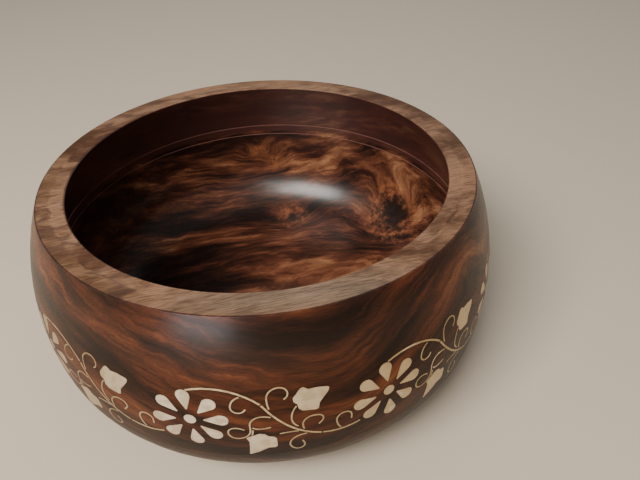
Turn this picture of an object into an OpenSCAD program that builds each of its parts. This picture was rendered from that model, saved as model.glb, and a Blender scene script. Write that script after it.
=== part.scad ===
// Turned wooden bowl with a band of brass flowers, leaves and curling wire let into its belly.
// Lengths in mm, +Z up, origin at the centre of the foot, on the surface that the bowl rests on.
// The brass pieces sit in pockets of their own, flush with the wood, with a fine gap round each.

/* [Bowl] */
// Widest diameter, across the belly
belly_d = 200; // [180:5:220]
// Height from the table to the flat rim
height = 88; // [84:1:92]
// Height of the belly, where the wall stands upright
belly_z = 44; // [43.5:0.25:44.5]
// Thickness of the wall
wall = 10; // [8:0.5:11]
// Angle below the belly at which the round shell turns in towards the foot
under_turn = 9; // [8.8:0.1:10]
// Radius of the curve from the shell to the foot
under_r = 34; // [33.9:0.1:36]
// Radius of the inside curve from the wall to the floor
cove_r = 32; // [31:0.5:33]
// Angle below the belly at which the cove meets the dished floor
cove_turn = 85; // [84:0.5:86]
// Chamfer along the outer edge of the rim
outer_edge = 0.5; // [0.3:0.1:0.8]
// Chamfer along the inner edge of the rim
inner_edge = 0.8; // [0.4:0.1:1.2]

/* [Inner lines] */
// Depth of the upper scratched line below the rim
line_high = 25.6; // [22:0.2:28]
// Depth of the lower scratched line below the rim
line_low = 31.4; // [29:0.2:36]
// Width of each line on the wall
line_w = 0.8; // [0.5:0.1:1.2]
// Depth of each line
line_depth = 0.5; // [0.3:0.1:0.7]

/* [Brass band] */
// Number of times that the pattern repeats round the belly
repeats = 9; // [9:1:9]
// Turn of the first flower from the front, in degrees
first_turn = -18.25; // [-40:0.25:40]
// Height of the flower centres above the belly line
flower_rise = 4.7; // [3:0.1:6]
// Depth of the pockets at the middle of each piece
inlay_depth = 1.5; // [1.2:0.1:1.8]
// Gap between brass and wood
gap = 0.12; // [0.05:0.01:0.15]
// Width of the main stem wires
stem_w = 0.7; // [0.6:0.05:0.9]
// Width of the thinner curls, stalks and twigs
curl_w = 0.5; // [0.4:0.05:0.7]

/* [Flower] */
// Diameter of the centre disc
disc_d = 4.3; // [3.5:0.1:5]
// Radius of the round outer end of a petal
petal_r = 2.5; // [2.2:0.1:2.6]
// Radius of the pointed inner end of a petal
petal_tip_r = 0.3; // [0.2:0.05:0.4]
// Distance from the flower centre to the middle of the round end
petal_reach = 10.9; // [10.6:0.1:11.2]
// Distance from the middle of the round end to the middle of the point
petal_len = 5.9; // [5:0.1:6.2]

/* [Hidden] */
$fn = 64;

shell_r = belly_d / 2;
inner_r = shell_r - wall;
under_x = (shell_r - under_r) * cos(under_turn);
under_z = belly_z - (shell_r - under_r) * sin(under_turn);
under_top = belly_z - shell_r * sin(under_turn);
cove_x = inner_r - cove_r;
floor_x = cove_x + cove_r * cos(cove_turn);
floor_z = belly_z - cove_r * sin(cove_turn);
floor_r = floor_x / cos(cove_turn);
rim_out = sqrt(shell_r * shell_r - pow(height - belly_z, 2));
rim_in = sqrt(inner_r * inner_r - pow(height - belly_z, 2));
above = 1;
turn_steps = 180;
skin_steps = 720;
skin_top = belly_z + 22;

// Each petal is set by hand: its direction, and how far it stands out from the regular ring.
petal_set = [[4.5, 0], [48, 0], [97, 0], [143, 0.3], [188, 0.5], [228, 0.4], [275, 0.4], [319, -0.2]];

// Wires in the flat pattern, with the flower centre at the origin and +X to the right.
// Each is [start, heading, [[radius, turn], ...]], and a left turn is positive.
wire_stem_first = [[0.1, 13.5], 20, [[23.2, -64]]];
wire_stem_middle = [[24.7, 7.8], -60, [[55, 14], [30.5, 26]]];
wire_stem_last = [[44.9, -10.5], -16, [[22, 36]]];
wire_curl_over = [[17.7, 11.75], 199.5, [[4.9, 70.5], [2.5, 162]]];
wire_curl_tall = [[27.1, 5.9], 103.5, [[18, -15.5], [4.3, -88], [2.75, -152]]];
wire_curl_double = [[27.4, 1.95], 157, [[7.6, 23], [4.3, 90], [30, 4], [4.6, -96], [3.1, -88],
  [2.7, -90], [5, -38]]];
wire_curl_leaf = [[38.35, -6.1], 111.5, [[6.4, -21.5], [3.8, -90], [8, -13], [2.1, -112], [10, -12]]];
wire_curl_low = [[39.2, -9.05], 183, [[12, 11], [5, 76], [4.6, 50], [2, 80], [2.6, 60], [8, 18]]];
wire_curl_end = [[51.3, -10.4], 124, [[9, -34], [3, -90], [2.5, -90], [30, -4]]];
wire_twig_inner = [[21.05, -2.8], 312, [[2.7, 48], [14, 17]]];
wire_twig_left = [[29.9, -7.1], 10, [[25, -15]]];
wire_stalk_high = [[36.25, 6], 232, [[9.3, 38], [5.8, 50]]];
wire_stalk_low = [[21.05, -4.2], 264, [[20, -8]]];

// Leaf outlines about the middle of each leaf, one point at each corner of the saw cut.
high_at = [40.8, 8.6];
high_leaf = [[-2.6, 4.9], [-1.7, 5.0], [-0.3, 3.9], [2.6, 4.0], [6.2, 3.4], [6.8, 2.9], [6.5, 1.6], [3.2, -3.0],
  [2.9, -5.4], [2, -5.8], [-2.6, -5.2], [-3.8, -4.1], [-4.2, -1.9], [-5.4, -0.7], [-5.5, 1], [-3.4, 4]];
low_at = [24, -12.4];
low_leaf = [[-5.6, 3.5], [-5.2, 4.2], [-3, 5.1], [-0.9, 6.1], [0.8, 5.8], [2, 4.3], [3.9, 3.8], [4.7, 2.8],
  [4.7, -2.2], [3.9, -2.9], [1.6, -2.9], [-1.8, -5.5], [-4.8, -7], [-5.4, -6.9], [-4.9, -2.1], [-4.7, 1.4]];

// ---- Turned profile ----

module slice(x, low, high) {
  translate([0, low]) square([x, high - low]);
}

module outer_half() {
  intersection() {
    translate([0, belly_z]) circle(r = shell_r, $fn = skin_steps);
    slice(shell_r + 1, under_top, height);
  }
  intersection() {
    translate([under_x, under_z]) circle(r = under_r, $fn = turn_steps);
    slice(shell_r, 0, under_top);
  }
  slice(under_x, 0, under_top);
}

module inner_half() {
  intersection() {
    translate([0, belly_z]) circle(r = inner_r, $fn = turn_steps);
    slice(inner_r + 1, belly_z, height + above);
  }
  intersection() {
    translate([cove_x, belly_z]) circle(r = cove_r, $fn = turn_steps);
    slice(inner_r + 1, floor_z, belly_z);
  }
  slice(cove_x, floor_z, belly_z);
  intersection() {
    translate([0, floor_z + floor_r * sin(cove_turn)]) circle(r = floor_r, $fn = skin_steps);
    slice(floor_x, 0, floor_z);
  }
}

module rim_edges() {
  polygon([[rim_out - outer_edge, height], [rim_out + 1, height + 1 + outer_edge],
    [rim_out + 1, height - outer_edge]]);
  polygon([[rim_in + inner_edge, height], [rim_in - 1, height + 1],
    [rim_in - 1, height - inner_edge - 1]]);
}

// A scratched line is a small notch cut square to the inside of the wall.
module scratched_line(drop) {
  rise = asin((height - drop - belly_z) / inner_r);
  translate([0, belly_z]) rotate(rise) translate([inner_r, 0])
    polygon([[-0.4, -line_w / 2], [line_depth, 0], [-0.4, line_w / 2]]);
}

// The belly's outer few millimetres, which trim the brass to the bowl's surface.
module belly_skin() {
  rotate_extrude($fn = skin_steps) intersection() {
    translate([0, belly_z]) circle(r = shell_r, $fn = skin_steps);
    translate([shell_r - 8, under_top]) square([9, skin_top - under_top]);
  }
}

module turned_bowl() {
  rotate_extrude($fn = turn_steps) difference() {
    outer_half();
    inner_half();
    rim_edges();
    scratched_line(line_high);
    scratched_line(line_low);
  }
}

// ---- Pattern pieces, drawn flat ----

function ahead(at, heading, r, turn) =
  at + r * sign(turn) * [sin(heading + turn) - sin(heading), cos(heading) - cos(heading + turn)];

// The middle line of a wire from its bends, as [point, heading] pairs. Tighter bends take
// larger steps, so that every step stays within a few hundredths of a millimetre of the arc.
function run(at, heading, list, i = 0) =
  i == len(list) ? [[at, heading]] :
  let (r = list[i][0], turn = list[i][1], n = ceil(abs(turn) / (6 + 36 / r)))
  concat(
    [for (k = [0 : n - 1]) [ahead(at, heading, r, turn * k / n), heading + turn * k / n]],
    run(ahead(at, heading, r, turn), heading + turn, list, i + 1));

function beside(step, off) = step[0] + off * [-sin(step[1]), cos(step[1])];

module wire_flat(wire, w) {
  middle = run(wire[0], wire[1], wire[2]);
  last = len(middle) - 1;
  polygon(concat(
    [for (step = middle) beside(step, w / 2)],
    [for (i = [last : -1 : 0]) beside(middle[i], -w / 2)]));
}

function arc(centre, r, from, to, n) =
  [for (k = [0 : n]) let (a = from + (to - from) * k / n) centre + r * [cos(a), sin(a)]];

// A petal: a round outer end drawn in to a blunt point, with straight sides that touch both.
module drop(grow) {
  lean = acos((petal_r - petal_tip_r) / petal_len);
  polygon(concat(
    arc([0, 0], petal_r + grow, lean - 180, 180 - lean, 11),
    arc([-petal_len, 0], petal_tip_r + grow, 180 - lean, 180 + lean, 3)));
}

module pad() {
  linear_extrude(inlay_depth + above) children();
}

// ---- Placing on the belly ----

// Bends a point of the flat pattern onto the bowl: children come to lie square to the surface.
module set_in(at) {
  translate([0, 0, belly_z])
    rotate([0, 0, at[0] / shell_r * 180 / PI])
      rotate([90 - (at[1] + flower_rise) / shell_r * 180 / PI, 0, 0])
        translate([0, 0, shell_r - inlay_depth])
          children();
}

module around() {
  for (k = [0 : repeats - 1]) rotate([0, 0, first_turn + k * 360 / repeats]) children();
}

module wires(wire, middle, w) {
  around() set_in(middle) translate(-middle) pad() wire_flat(wire, w);
}

module discs_at(grow) {
  around() set_in([0, 0]) pad() circle(d = disc_d + 2 * grow);
}

module petals_at(grow) {
  around() for (p = petal_set) {
    at = (petal_reach + p[1]) * [cos(p[0]), sin(p[0])];
    set_in(at) rotate([0, 0, p[0]]) pad() drop(grow);
  }
}

module leaf_at(at, outline, grow) {
  swell = 1 + grow / 5;
  around() set_in(at) pad() polygon([for (p = outline) p * swell]);
}

module high_leaves_at(grow) { leaf_at(high_at, high_leaf, grow); }
module low_leaves_at(grow) { leaf_at(low_at, low_leaf, grow); }
module stem_first_at(grow) { wires(wire_stem_first, [12, 13], stem_w + 2 * grow); }
module stem_middle_at(grow) { wires(wire_stem_middle, [33, -2], stem_w + 2 * grow); }
module stem_last_at(grow) { wires(wire_stem_last, [51.5, -10.5], stem_w + 2 * grow); }
module curl_over_at(grow) { wires(wire_curl_over, [17, 8], curl_w + 2 * grow); }
module curl_tall_at(grow) { wires(wire_curl_tall, [30, 8.5], curl_w + 2 * grow); }
module curl_double_at(grow) { wires(wire_curl_double, [20.3, -3], curl_w + 2 * grow); }
module curl_leaf_at(grow) { wires(wire_curl_leaf, [41.2, -3.5], curl_w + 2 * grow); }
module curl_low_at(grow) { wires(wire_curl_low, [36.5, -13.5], curl_w + 2 * grow); }
module curl_end_at(grow) { wires(wire_curl_end, [52.3, -7], curl_w + 2 * grow); }
module twig_inner_at(grow) { wires(wire_twig_inner, [23.4, -3], curl_w + 2 * grow); }
module twig_left_at(grow) { wires(wire_twig_left, [34, -7.2], curl_w + 2 * grow); }
module stalk_high_at(grow) { wires(wire_stalk_high, [35.2, 0], curl_w + 2 * grow); }
module stalk_low_at(grow) { wires(wire_stalk_low, [20.6, -5.5], curl_w + 2 * grow); }

// ---- Sub-parts ----

module brass() {
  color("goldenrod") children();
}

// Trims a group of pieces to the bowl's surface.
module inlaid() {
  brass() intersection() {
    belly_skin();
    children();
  }
}

module bowl_body() {
  color("saddlebrown") difference() {
    turned_bowl();
    discs_at(gap);
    petals_at(gap);
    high_leaves_at(gap);
    low_leaves_at(gap);
    stem_first_at(gap);
    stem_middle_at(gap);
    stem_last_at(gap);
    curl_over_at(gap);
    curl_tall_at(gap);
    curl_double_at(gap);
    curl_leaf_at(gap);
    curl_low_at(gap);
    curl_end_at(gap);
    twig_inner_at(gap);
    twig_left_at(gap);
    stalk_high_at(gap);
    stalk_low_at(gap);
  }
}

module flower_discs() { inlaid() discs_at(0); }
module petals() { inlaid() petals_at(0); }
module leaves_high() { inlaid() high_leaves_at(0); }
module leaves_low() { inlaid() low_leaves_at(0); }

module stem_first() { inlaid() stem_first_at(0); }
module stem_middle() { inlaid() stem_middle_at(0); }
module stem_last() { inlaid() stem_last_at(0); }
module curl_over() { inlaid() curl_over_at(0); }
module curl_tall() { inlaid() curl_tall_at(0); }
module curl_double() { inlaid() curl_double_at(0); }
module curl_leaf() { inlaid() curl_leaf_at(0); }
module curl_low() { inlaid() curl_low_at(0); }
module curl_end() { inlaid() curl_end_at(0); }
module twig_inner() { inlaid() twig_inner_at(0); }
module twig_left() { inlaid() twig_left_at(0); }
module stalk_high() { inlaid() stalk_high_at(0); }
module stalk_low() { inlaid() stalk_low_at(0); }

bowl_body();
flower_discs();
petals();
leaves_high();
leaves_low();
stem_first();
stem_middle();
stem_last();
curl_over();
curl_tall();
curl_double();
curl_leaf();
curl_low();
curl_end();
twig_inner();
twig_left();
stalk_high();
stalk_low();
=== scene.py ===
import math

import bpy
from mathutils import Matrix, Vector


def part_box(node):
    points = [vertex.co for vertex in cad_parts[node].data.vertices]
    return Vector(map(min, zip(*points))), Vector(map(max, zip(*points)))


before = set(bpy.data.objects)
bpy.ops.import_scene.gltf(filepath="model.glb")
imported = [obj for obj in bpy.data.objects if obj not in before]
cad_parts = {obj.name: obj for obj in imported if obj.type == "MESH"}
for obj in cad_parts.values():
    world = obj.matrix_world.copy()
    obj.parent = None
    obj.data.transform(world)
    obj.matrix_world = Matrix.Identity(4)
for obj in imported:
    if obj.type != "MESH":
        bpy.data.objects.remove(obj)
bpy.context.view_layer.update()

# ---- Sizes that come from the frame ----

box_low, box_high = (Vector(corner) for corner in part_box("bowl_body"))
HEIGHT = box_high.z                      # rim height above the table
BELLY_R = (box_high.x - box_low.x) / 2   # widest radius
RIM_R = 0.898 * BELLY_R                  # outer radius of the flat rim

# ---- Camera: a hand-held view from above the front of the rim ----

LENS_MM = 33.75
SENSOR_MM = 36.0
STAND_OFF = 2.470    # distance in front of the bowl's axis, in rim radii
RISE = 1.443         # height above the rim, in rim radii
TILT = 37.726        # degrees below the horizon
PAN = 6.378          # degrees to the right
ROLL = -1.656        # degrees

# ---- Light ----

WORLD = (0.92, 0.92, 0.90)
WORLD_STRENGTH = 0.26
FLOOR_COLOUR = (0.54, 0.45, 0.34)
FLOOR_HALF = 3.0     # half the floor's width, m

# Softboxes: place (m), what it points at (m), width and height (m), power (W), colour.
MIDDLE = (0, 0, HEIGHT / 2)
SOFTBOXES = {
    "key": ((-0.42, -0.50, 0.78), MIDDLE, (0.52, 0.38), 16.0, (1.0, 0.98, 0.95)),
    "side": ((-0.55, -0.95, 0.10), (0, 0, 0.06), (0.45, 0.12), 2.9, (0.92, 0.94, 1.0)),
    "edge": ((-0.14, -1.00, 0.86), (0, -RIM_R, HEIGHT), (0.16, 0.10), 1.2, (1.0, 1.0, 1.0)),
    "back": ((0.25, 0.90, 0.80), MIDDLE, (0.9, 0.5), 2.6, (0.93, 0.96, 1.0)),
}

# ---- Brass ----

PLATES = ("flower_discs", "petals", "leaves")        # sheet brass; every other brass node is wire
BRASS_HIGHLIGHT_PATCH = ((-2.6, -9.6, 5.0), (4.3, 4.3, 3.0))  # painted highlight on the front-left brass, where the light falls: place and reach, cm
TARNISH = (0.30, 0.19, 0.10)

# Where pale (random pale patches and the painted highlight), elsewhere, and along its scratches.
PLATE_COLOURS = ((1.0, 0.92, 0.78), (0.60, 0.46, 0.28), (0.50, 0.37, 0.22))
WIRE_COLOURS = ((0.92, 0.80, 0.56), (0.54, 0.42, 0.23), (0.40, 0.29, 0.15))

# ---- Wood: one block, grain along X and a little across; every length here is in cm ----

CM = 100.0                        # centimetres in a metre
RIM_TOP = HEIGHT * CM
RIM_EDGE = RIM_R * CM
LINE_DEPTHS = (3.14, 2.56)        # the scratched lines inside, below the rim
LIP_DROP = 0.045                  # how far below a line the painted highlight on its lip lies
SHADED_WALL_HEIGHTS = (5.75, 5.95)         # height over which the painted shade on the wall above the lines sets in

GRAIN_TURN = 9.0                  # degrees that the grain is turned from +X
PITH = (-1.5, -9.5)               # the tree's heart, across and up from the bowl's foot
PITH_BEND = 0.18                  # how the heart curves to the front under the front right wall, per cm
BELLY_MIDDLE = (0.0, 0.0, 4.4)    # centre of the round belly
MID_WALL = 9.5                    # radius halfway through the wall

INK = (0.010, 0.0048, 0.0037)
DARK = (0.030, 0.0108, 0.0068)
RED = (0.074, 0.0235, 0.0125)
AMBER = (0.158, 0.056, 0.027)
HONEY = (0.31, 0.142, 0.066)
FIGURE = [(0.34, INK), (0.45, DARK), (0.545, RED), (0.65, AMBER), (0.78, HONEY)]   # colour for each tone
FIBRE_SHADE = (0.42, 0.38, 0.38)  # what a fibre multiplies the colour by
# painted shade on the undercut wall above the scratched lines
SHADED_WALL_PURPLE = (0.054, 0.0180, 0.0150)
GLOW = (0.25, 0.086, 0.036)
EYE = (0.009, 0.0055, 0.005)
# painted highlight on the lips of the scratched lines
LIP_HIGHLIGHT = (0.30, 0.135, 0.105)

RIM_DARK = (0.100, 0.045, 0.0215)
RIM_DRY = (0.330, 0.190, 0.108)
RIM_GREY = (0.300, 0.235, 0.165)
RIM_VEIN = (0.045, 0.022, 0.017)
RIM_SHADE = (0.34, 0.28, 0.26)
GREY_SPOT = ((1.2, -8.2, 8.8), (4.2, 0.9, 0.4))   # where the rim is greyest: place and reach

OUTSIDE_DARKER = 0.030            # how much lower the tone is on the belly than in the bowl
OUTSIDE_CALMER = 0.28             # how much of the figure's contrast the belly loses
OUTSIDE_TINT = (0.95, 0.80, 0.58)   # what the belly's colour is multiplied by: redder than the bowl

# Knots: place, how far they push the rings, how wide the push is, radius of the dark eye, and how strongly
# the wood round them glows.
KNOTS = [
    ((7.2, 4.45, 2.5), 2.0, 1.7, 1.05, 0.75),
    ((1.64, 6.45, 1.3), 0.9, 0.95, 0.42, 0.65),
    ((0.9, 8.9, 3.9), 0.5, 0.6, 0.06, 0.60),
    ((0.0, 9.0, 4.6), 0.6, 0.7, 0.0, 0.75),
    ((6.9, 5.6, 3.6), 0.9, 0.8, 0.0, 0.60),
    ((7.1, -6.35, 7.4), -0.45, 0.9, 0.0, 0.30),
]

# Places that are lighter (+) or darker (-) than the rest: place, reach, by how much. Most are the wood's own
# tone; the marked ones are painted shade, and one is a painted highlight.
TONES_SHADE_AND_HIGHLIGHT = [
    # painted shade: the inside's left side, in the shadow of the left wall
    ((-7.5, 4.0, 4.2), (4.0, 4.0, 3.0), -0.030),
    ((4.2, 7.9, 4.6), (2.8, 1.6, 1.5), 0.130),
    ((1.5, -8.4, 8.8), (4.5, 1.6, 0.25), 0.110),
    ((7.4, -4.2, 8.8), (2.2, 3.0, 0.25), 0.070),
    ((0.2, 9.0, 4.4), (1.5, 1.2, 1.4), 0.055),
    ((7.0, 5.4, 4.2), (1.6, 1.6, 1.2), 0.055),
    ((3.2, 5.2, 1.2), (2.5, 2.6, 0.9), 0.035),
    ((-1.5, 5.5, 1.2), (3.2, 1.1, 0.8), 0.045),
    ((8.3, -4.6, 6.5), (3.0, 4.0, 2.6), 0.065),
    ((4.9, -8.0, 8.0), (2.4, 1.6, 0.7), 0.045),
    ((-4.8, -8.7, 4.6), (1.1, 0.9, 0.9), 0.085),
    # painted highlight: the upper belly below the rim at the front left, where the soft highlight falls
    ((-3.5, -8.6, 8.1), (1.8, 1.3, 0.7), 0.050),
    ((-7.9, -4.3, 8.4), (1.2, 2.2, 0.8), 0.060),
    ((1.7, -9.2, 7.9), (2.2, 1.3, 0.6), -0.050),
    ((-5.1, -8.1, 7.0), (1.7, 1.3, 0.5), -0.065),
    # painted shade: the lower front belly, which faces down towards the table
    ((2.0, -9.6, 3.0), (4.0, 1.5, 1.4), -0.030),
    ((3.4, 3.0, 1.2), (3.6, 3.0, 1.0), 0.055),
    ((1.6, 6.4, 1.3), (1.1, 1.1, 1.0), 0.110),
    ((3.2, -9.3, 6.0), (4.5, 1.5, 2.2), -0.035),
    # painted shade: the underside of the front belly
    ((0.0, -8.0, 1.4), (7.0, 3.0, 1.9), -0.060),
    ((-1.0, 8.0, 7.5), (5.0, 2.5, 1.2), 0.050),
]


class Tree:
    """Short calls that build one material's nodes."""

    def __init__(self, name):
        self.material = bpy.data.materials.new(name)
        self.material.use_nodes = True
        self.nodes = self.material.node_tree.nodes
        self.links = self.material.node_tree.links
        self.shader = self.nodes["Principled BSDF"]

    def put(self, socket, value):
        if isinstance(value, bpy.types.NodeSocket):
            self.links.new(value, socket)
        elif socket.type == "RGBA" and len(value) == 3:
            socket.default_value = (*value, 1.0)
        else:
            socket.default_value = value

    def node(self, kind, settings=None, **inputs):
        made = self.nodes.new(kind)
        for key, value in (settings or {}).items():
            setattr(made, key, value)
        for key, value in inputs.items():
            self.put(made.inputs[key.replace("_", " ")], value)
        return made

    def math(self, operation, a, b=0.0, c=0.0):
        made = self.node("ShaderNodeMath", {"operation": operation})
        for socket, value in zip(made.inputs, (a, b, c)):
            self.put(socket, value)
        return made.outputs[0]

    def vector(self, operation, a, b=(0, 0, 0)):
        made = self.node("ShaderNodeVectorMath", {"operation": operation})
        self.put(made.inputs[0], a)
        if operation == "SCALE":
            self.put(made.inputs["Scale"], b)
        else:
            self.put(made.inputs[1], b)
        return made.outputs["Value" if operation == "LENGTH" else "Vector"]

    def noise(self, where, scale, detail, rough):
        return self.node("ShaderNodeTexNoise", Vector=where, Scale=scale, Detail=detail, Roughness=rough)

    def range(self, value, low, high, to_low=0.0, to_high=1.0):
        made = self.node("ShaderNodeMapRange", {"interpolation_type": "SMOOTHSTEP"})
        for socket, v in zip(made.inputs, (value, low, high, to_low, to_high)):
            self.put(socket, v)
        return made.outputs[0]

    def mix(self, amount, a, b, blend="MIX"):
        made = self.node("ShaderNodeMix", {"data_type": "RGBA", "blend_type": blend})
        self.put(made.inputs["Factor"], amount)
        self.put(made.inputs[6], a)
        self.put(made.inputs[7], b)
        return made.outputs[2]

    def ramp(self, value, stops):
        made = self.node("ShaderNodeValToRGB", Fac=value)
        bar = made.color_ramp
        while len(bar.elements) < len(stops):
            bar.elements.new(1.0)
        for element, (place, colour) in zip(bar.elements, stops):
            element.position = place
            element.color = (*colour, 1.0)
        return made.outputs[0]

    def xyz(self, vector):
        return self.node("ShaderNodeSeparateXYZ", Vector=vector).outputs

    def join(self, x, y, z):
        made = self.node("ShaderNodeCombineXYZ")
        for socket, value in zip(made.inputs, (x, y, z)):
            self.put(socket, value)
        return made.outputs[0]

    def bump(self, height, strength, distance):
        return self.node("ShaderNodeBump", Height=height, Strength=strength, Distance=distance).outputs[0]

    def finish(self, **sockets):
        for key, value in sockets.items():
            self.put(self.shader.inputs[key.replace("_", " ")], value)
        return self.material


def centimetres(tree):
    """The place on the object, in cm, which is the same for every node of the frame."""
    place = tree.node("ShaderNodeTexCoord").outputs["Object"]
    return tree.vector("SCALE", place, CM)


def along_grain(tree, place):
    turned = tree.node(
        "ShaderNodeVectorRotate", {"rotation_type": "Z_AXIS"}, Vector=place, Angle=math.radians(-GRAIN_TURN)
    )
    return turned.outputs[0]


def turned_place(centre):
    """A place on the bowl, as along_grain() sees it."""
    a = math.radians(-GRAIN_TURN)
    x, y, z = centre
    return (x * math.cos(a) - y * math.sin(a), x * math.sin(a) + y * math.cos(a), z)


def bell(tree, place, centre, reach):
    """1 at the centre, falling away smoothly over the reach, which may differ along x, y and z."""
    away = tree.vector("SUBTRACT", place, centre)
    away = tree.vector("LENGTH", tree.vector("DIVIDE", away, reach))
    return tree.math("EXPONENT", tree.math("MULTIPLY", tree.math("MULTIPLY", away, away), -1.0))


def centred(tree, noise):
    return tree.vector("SUBTRACT", noise.outputs["Color"], (0.5, 0.5, 0.5))


def ring_space(tree, grain, inside):
    """Along the grain, out from the tree's heart, and across both: streaks are long, thin and flat in it."""
    slow = centred(tree, tree.noise(tree.vector("MULTIPLY", grain, (0.10, 0.22, 0.22)), 1.0, 1.0, 0.5))
    quick = centred(tree, tree.noise(tree.vector("MULTIPLY", grain, (0.42, 0.95, 0.95)), 1.0, 3.0, 0.55))
    sway = tree.math("MULTIPLY_ADD", inside, 1.3, 0.7)
    moved = tree.vector("ADD", grain, tree.vector("SCALE", slow, sway))
    moved = tree.vector("ADD", moved, tree.vector("SCALE", quick, 0.60))
    x, y, z = tree.xyz(moved)
    right = tree.math("MAXIMUM", x, 0.0)
    right = tree.math("MULTIPLY", tree.math("MULTIPLY", right, right), tree.range(y, -3.5, -6.5))
    bend = tree.math("MULTIPLY_ADD", right, PITH_BEND, -PITH[0])
    across = tree.join(0.0, tree.math("ADD", y, bend), tree.math("SUBTRACT", z, PITH[1]))
    depth = tree.vector("LENGTH", across)
    for centre, push, width, _, _ in KNOTS:
        near = bell(tree, grain, turned_place(centre), (width * 1.35, width, width))
        depth = tree.math("MULTIPLY_ADD", near, push, depth)
    return tree.join(x, depth, tree.math("SUBTRACT", y, z))


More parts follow.
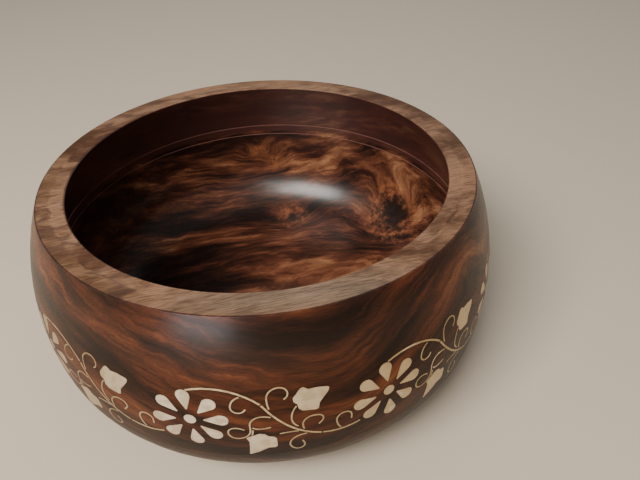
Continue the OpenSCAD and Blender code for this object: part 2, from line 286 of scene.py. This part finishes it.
def wood():
    tree = Tree("rosewood")
    place = centimetres(tree)
    grain = along_grain(tree, place)
    x, y, z = tree.xyz(place)
    from_middle = tree.vector("LENGTH", tree.vector("SUBTRACT", place, BELLY_MIDDLE))
    inside = tree.range(from_middle, MID_WALL + 0.1, MID_WALL - 0.1)
    rings = ring_space(tree, grain, inside)
    from_axis = tree.vector("LENGTH", tree.vector("MULTIPLY", place, (1.0, 1.0, 0.0)))
    top = tree.range(z, RIM_TOP - 0.05, RIM_TOP - 0.02)
    on_rim = tree.math("MULTIPLY", top, tree.range(from_axis, RIM_EDGE - 0.03, RIM_EDGE - 0.06))
    edge = tree.math("MULTIPLY", top, tree.range(from_axis, RIM_EDGE - 0.06, RIM_EDGE - 0.03))

    # Smoky clouds, then streaks, then fine lines, all drawn out along the grain.
    cloud = tree.noise(tree.vector("MULTIPLY", rings, (0.12, 0.75, 0.24)), 1.0, 3.0, 0.55).outputs[0]
    streak = tree.noise(tree.vector("MULTIPLY", rings, (0.28, 2.6, 0.55)), 1.0, 4.0, 0.62).outputs[0]
    line = tree.noise(tree.vector("MULTIPLY", rings, (0.50, 8.0, 1.1)), 1.0, 3.0, 0.6).outputs[0]
    tone = tree.math("MULTIPLY_ADD", tree.math("SUBTRACT", streak, 0.5), 0.66, cloud)
    tone = tree.math("MULTIPLY_ADD", tree.math("SUBTRACT", line, 0.5), 0.36, tone)
    outside = tree.math("SUBTRACT", 1.0, inside)
    swing = tree.math("MULTIPLY_ADD", outside, -OUTSIDE_CALMER, 1.0)
    tone = tree.math("MULTIPLY_ADD", tree.math("SUBTRACT", tone, 0.5), swing, 0.5)
    tone = tree.math("MULTIPLY_ADD", outside, -OUTSIDE_DARKER, tone)
    # Lighter and darker patches: mostly the wood's own tone, with painted shade and a painted highlight
    # among them.
    for centre, reach, by in TONES_SHADE_AND_HIGHLIGHT:
        tone = tree.math("MULTIPLY_ADD", bell(tree, place, centre, reach), by, tone)
    colour = tree.ramp(tone, FIGURE)
    colour = tree.mix(outside, colour, OUTSIDE_TINT, "MULTIPLY")

    # Fibres: fine streaks along the grain, and open pores as short dark dashes.
    fibre = tree.noise(tree.vector("MULTIPLY", grain, (1.1, 15.0, 15.0)), 1.0, 4.0, 0.65).outputs[0]
    shade = tree.mix(1.0, colour, FIBRE_SHADE, "MULTIPLY")
    colour = tree.mix(tree.range(fibre, 0.42, 0.68, 0.0, 0.45), colour, shade)
    pore = tree.noise(tree.vector("MULTIPLY", grain, (4.0, 30.0, 30.0)), 1.0, 1.0, 0.4).outputs[0]
    pore = tree.range(pore, 0.64, 0.74)
    colour = tree.mix(tree.math("MULTIPLY", pore, 0.40), colour, INK)

    # The wall above the scratched lines, undercut beneath the rim, is painted darker and more purple than
    # the bowl below them: painted shade.
    shaded_upper_wall = tree.math("MULTIPLY", inside, tree.range(z, *SHADED_WALL_HEIGHTS))
    colour = tree.mix(tree.math("MULTIPLY", shaded_upper_wall, 0.72), colour, SHADED_WALL_PURPLE)

    # Knots: a glowing ring round a dark, cracked eye.
    ragged = centred(tree, tree.noise(place, 1.7, 4.0, 0.75))
    speckle = tree.noise(place, 2.6, 4.0, 0.7).outputs[0]
    eye_all = 0.0
    for centre, _, width, eye, glow in KNOTS:
        away = tree.vector("ADD", place, tree.vector("SCALE", ragged, 1.9 * eye + 0.12))
        away = tree.vector("LENGTH", tree.vector("SUBTRACT", away, centre))
        halo = tree.range(away, width * 1.25, eye * 1.15)
        halo = tree.math("MULTIPLY", halo, tree.range(speckle, 0.40, 0.66, 0.0, glow))
        colour = tree.mix(halo, colour, GLOW)
        if eye:
            dark = tree.range(away, eye * 1.2, eye * 0.5)
            colour = tree.mix(tree.math("MULTIPLY", dark, 0.94), colour, EYE)
            eye_all = tree.math("MAXIMUM", eye_all, dark)

    # The scratched lines: a painted highlight along the lower lip of each, where the light catches it.
    for depth in LINE_DEPTHS:
        lip_highlight = tree.math("ABSOLUTE", tree.math("SUBTRACT", z, RIM_TOP - depth - LIP_DROP))
        lip_highlight = tree.math("MULTIPLY", tree.range(lip_highlight, 0.035, 0.010), inside)
        colour = tree.mix(tree.math("MULTIPLY", lip_highlight, 0.55), colour, LIP_HIGHLIGHT)

    # The flat rim is left dry: greyer, paler, and with its fibres showing.
    dry_fibre = tree.noise(tree.vector("MULTIPLY", grain, (1.5, 21.0, 21.0)), 1.0, 5.0, 0.70).outputs[0]
    bare = tree.mix(tree.range(tone, 0.36, 0.62), RIM_DARK, RIM_DRY)
    bare = tree.mix(tree.math("MULTIPLY", bell(tree, place, *GREY_SPOT), 0.60), bare, RIM_GREY)
    bare = tree.mix(0.34, bare, colour)
    shade = tree.mix(1.0, bare, RIM_SHADE, "MULTIPLY")
    bare = tree.mix(tree.range(dry_fibre, 0.44, 0.62, 0.0, 0.66), bare, shade)
    vein = tree.noise(tree.vector("MULTIPLY", rings, (0.16, 1.5, 0.3)), 1.0, 2.0, 0.5).outputs[0]
    vein = tree.range(tree.math("ABSOLUTE", tree.math("SUBTRACT", vein, 0.5)), 0.030, 0.0, 0.0, 0.6)
    bare = tree.mix(tree.math("MULTIPLY", vein, tree.range(x, 1.0, -3.0)), bare, RIM_VEIN)
    colour = tree.mix(on_rim, colour, bare)

    rough = tree.range(fibre, 0.3, 0.8, 0.33, 0.43)
    rough = tree.math("MULTIPLY_ADD", on_rim, 0.20, rough)
    rough = tree.math("MULTIPLY_ADD", pore, 0.15, rough)

    # The inside and the upper belly are polished, the rim's worn edge most of all.
    polish = tree.math("MAXIMUM", tree.range(z, 5.5, 8.0, 0.0, 0.34), tree.math("MULTIPLY", inside, 0.60))
    polish = tree.math("MULTIPLY", tree.math("SUBTRACT", 1.0, on_rim), tree.math("MAXIMUM", polish, edge))

    height = tree.math("MULTIPLY", pore, -0.8)
    height = tree.math("MULTIPLY_ADD", fibre, -0.35, height)
    height = tree.math("MULTIPLY_ADD", dry_fibre, tree.math("MULTIPLY", on_rim, -1.6), height)
    height = tree.math("MULTIPLY_ADD", eye_all, tree.math("MULTIPLY", speckle, -4.0), height)
    normal = tree.bump(height, 0.35, 0.00012)
    # The warm specular tint is painted reflection: it warms every reflection as if the warm table were
    # mirrored in it.
    return tree.finish(
        Base_Color=colour, Roughness=rough, Normal=normal, Specular_IOR_Level=0.13,
        Specular_Tint=(1.0, 0.84, 0.68, 1.0), Coat_Weight=polish, Coat_Roughness=0.26,
    )


def brass(name, pale, deep, worn):
    tree = Tree(name)
    place = centimetres(tree)
    x, y, z = tree.xyz(place)
    # Brushed round the bowl: fine lines that run along the belly, level with the table.
    turn = tree.math("ARCTAN2", x, tree.math("MULTIPLY", y, -1.0))
    brushed = tree.join(tree.math("MULTIPLY", turn, 9.0), tree.math("MULTIPLY", z, 60.0), 0.0)
    lines = tree.noise(brushed, 1.0, 4.0, 0.7).outputs[0]
    cloud = tree.noise(place, 0.9, 3.0, 0.6).outputs[0]
    # Pale in random patches, and in a painted highlight at the front left.
    pale_patches_and_highlight = tree.math("MAXIMUM", bell(tree, place, *BRASS_HIGHLIGHT_PATCH), tree.range(cloud, 0.56, 0.70))
    colour = tree.mix(pale_patches_and_highlight, deep, pale)
    colour = tree.mix(tree.range(lines, 0.45, 0.72, 0.0, 0.45), colour, worn)
    handled = tree.noise(place, 2.4, 2.0, 0.5).outputs[0]
    colour = tree.mix(tree.range(handled, 0.42, 0.62, 0.0, 0.45), colour, worn)
    tarnish = tree.noise(place, 8.0, 3.0, 0.7).outputs[0]
    colour = tree.mix(tree.range(tarnish, 0.62, 0.80, 0.0, 0.55), colour, TARNISH)
    rough = tree.range(lines, 0.3, 0.75, 0.24, 0.40)
    normal = tree.bump(lines, 0.25, 0.00004)
    return tree.finish(Base_Color=colour, Metallic=1.0, Roughness=rough, Normal=normal, Anisotropic=0.35)


def dress():
    plate = brass("brass_plate", *PLATE_COLOURS)
    wire = brass("brass_wire", *WIRE_COLOURS)
    timber = wood()
    for name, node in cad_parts.items():
        look = timber if name == "bowl_body" else plate if name.startswith(PLATES) else wire
        for slot in node.material_slots:
            slot.material = look


def floor():
    half = FLOOR_HALF
    corners = [(-half, -half, 0), (half, -half, 0), (half, half, 0), (-half, half, 0)]
    mesh = bpy.data.meshes.new("floor")
    mesh.from_pydata(corners, [], [(0, 1, 2, 3)])
    piece = bpy.data.objects.new("floor", mesh)
    bpy.context.scene.collection.objects.link(piece)
    tree = Tree("floor")
    mesh.materials.append(tree.finish(Base_Color=FLOOR_COLOUR, Roughness=0.6))


def aim(thing, target):
    thing.rotation_euler = (Vector(target) - thing.location).to_track_quat("-Z", "Y").to_euler()


def softbox(name, place, target, size, power, colour):
    data = bpy.data.lights.new(name, "AREA")
    data.shape = "RECTANGLE"
    data.size, data.size_y = size
    data.energy = power
    data.color = colour
    light = bpy.data.objects.new(name, data)
    light.location = place
    aim(light, target)
    bpy.context.scene.collection.objects.link(light)


def lights():
    for name, settings in SOFTBOXES.items():
        softbox(name, *settings)
    world = bpy.data.worlds.new("studio")
    world.use_nodes = True
    background = world.node_tree.nodes["Background"]
    background.inputs["Color"].default_value = (*WORLD, 1.0)
    background.inputs["Strength"].default_value = WORLD_STRENGTH
    bpy.context.scene.world = world


def camera():
    data = bpy.data.cameras.new("camera")
    data.lens = LENS_MM
    data.sensor_width = SENSOR_MM
    view = bpy.data.objects.new("camera", data)
    tilt, pan, roll = (math.radians(a) for a in (TILT, PAN, ROLL))
    ahead = Vector((math.sin(pan) * math.cos(tilt), math.cos(pan) * math.cos(tilt), -math.sin(tilt)))
    right = Vector((math.cos(pan), -math.sin(pan), 0))
    up = right.cross(ahead)
    right, up = right * math.cos(roll) + up * math.sin(roll), up * math.cos(roll) - right * math.sin(roll)
    turn = Matrix((right, up, -ahead)).transposed().to_4x4()
    view.matrix_world = Matrix.Translation((0, -STAND_OFF * RIM_R, HEIGHT + RISE * RIM_R)) @ turn
    bpy.context.scene.collection.objects.link(view)
    bpy.context.scene.camera = view


dress()
floor()
lights()
camera()
